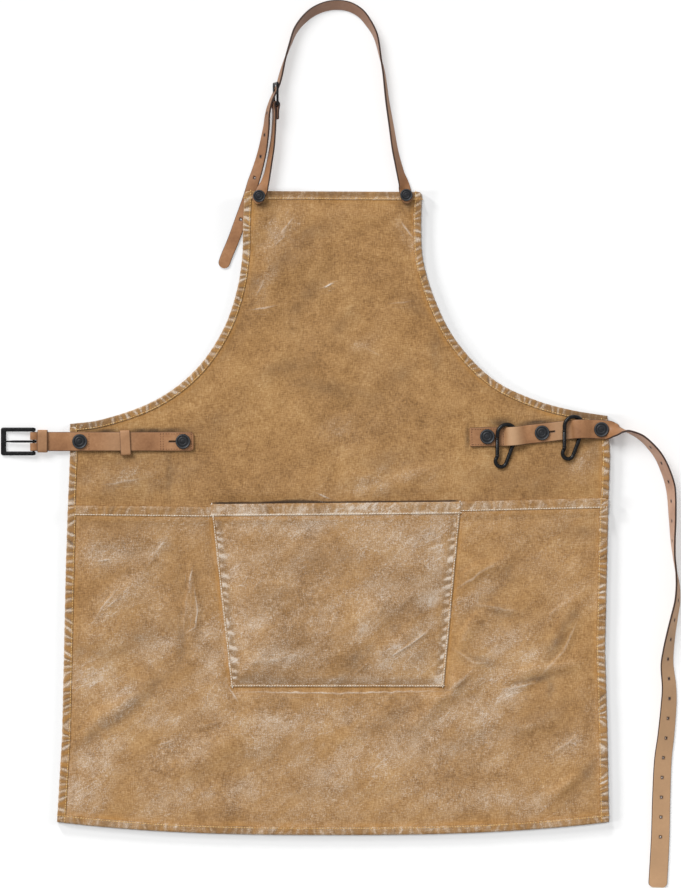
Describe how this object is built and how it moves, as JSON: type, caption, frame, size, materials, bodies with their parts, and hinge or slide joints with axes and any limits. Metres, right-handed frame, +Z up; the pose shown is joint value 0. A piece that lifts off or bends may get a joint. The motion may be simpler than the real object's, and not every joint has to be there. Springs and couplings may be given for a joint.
{
  "type": "grill apron",
  "caption": "Waxed-canvas grill apron lying flat, with a patch pocket, buttoned leather neck and waist straps, metal buckles and snap hooks for tools.",
  "frame": {"origin": "middle of the object's outline on the table that it lies on", "axes": "+X across the apron to the viewer's right, +Y up towards the neck loop, +Z up off the table"},
  "size_m": [0.863, 1.1266, 0.0245],
  "materials": {
    "canvas": "waxed, dry matt",
    "leather": "satin, tan",
    "button_metal": "dark grey, satin",
    "black_metal": "black, satin"
  },
  "bodies": {
    "apron": {"bib_panel": "canvas", "skirt_panel": "canvas", "front_pocket": "canvas", "neck_strap_long": "leather", "neck_strap_short": "leather", "waist_strap_left": "leather", "waist_strap_right": "leather", "keeper_buckle": "leather", "keeper_loose": "leather", "button_neck_left": "button_metal", "button_neck_right": "button_metal", "button_waist_left_outer": "button_metal", "button_waist_left_inner": "button_metal", "button_waist_right_inner": "button_metal", "button_waist_right_middle": "button_metal", "button_waist_right_outer": "button_metal", "neck_buckle_frame": "black_metal", "neck_buckle_tongue": "black_metal", "carabiner_1_body": "black_metal", "carabiner_2_body": "black_metal"},
    "waist_frame": {"waist_buckle_frame": "black_metal"},
    "waist_tongue": {"waist_buckle_tongue": "black_metal"},
    "gate_1": {"carabiner_1_gate": "black_metal"},
    "gate_2": {"carabiner_2_gate": "black_metal"}
  },
  "joints": [
    {"name": "waist_frame_hinge", "type": "hinge", "parent": "apron", "child": "waist_frame", "pos_m": [-0.3894, 0.0032, 0.0064], "axis": [0, 1, 0], "range_deg": [0, 65]},
    {"name": "waist_tongue_hinge", "type": "hinge", "parent": "waist_frame", "child": "waist_tongue", "pos_m": [-0.3894, 0.0032, 0.0064], "axis": [0, 1, 0], "range_deg": [0, 30]},
    {"name": "gate_1_hinge", "type": "hinge", "parent": "apron", "child": "gate_1", "pos_m": [0.19885, -0.01554, 0.00734], "axis": [-0.2011, 0.0683, -0.9772], "range_deg": [0, 13], "stiffness_Nm_per_rad": 0.02, "springref_deg": -28.65},
    {"name": "gate_2_hinge", "type": "hinge", "parent": "apron", "child": "gate_2", "pos_m": [0.28385, -0.00553, 0.00784], "axis": [-0.2011, 0.0683, -0.9772], "range_deg": [0, 13], "stiffness_Nm_per_rad": 0.02, "springref_deg": -28.65}
  ]
}
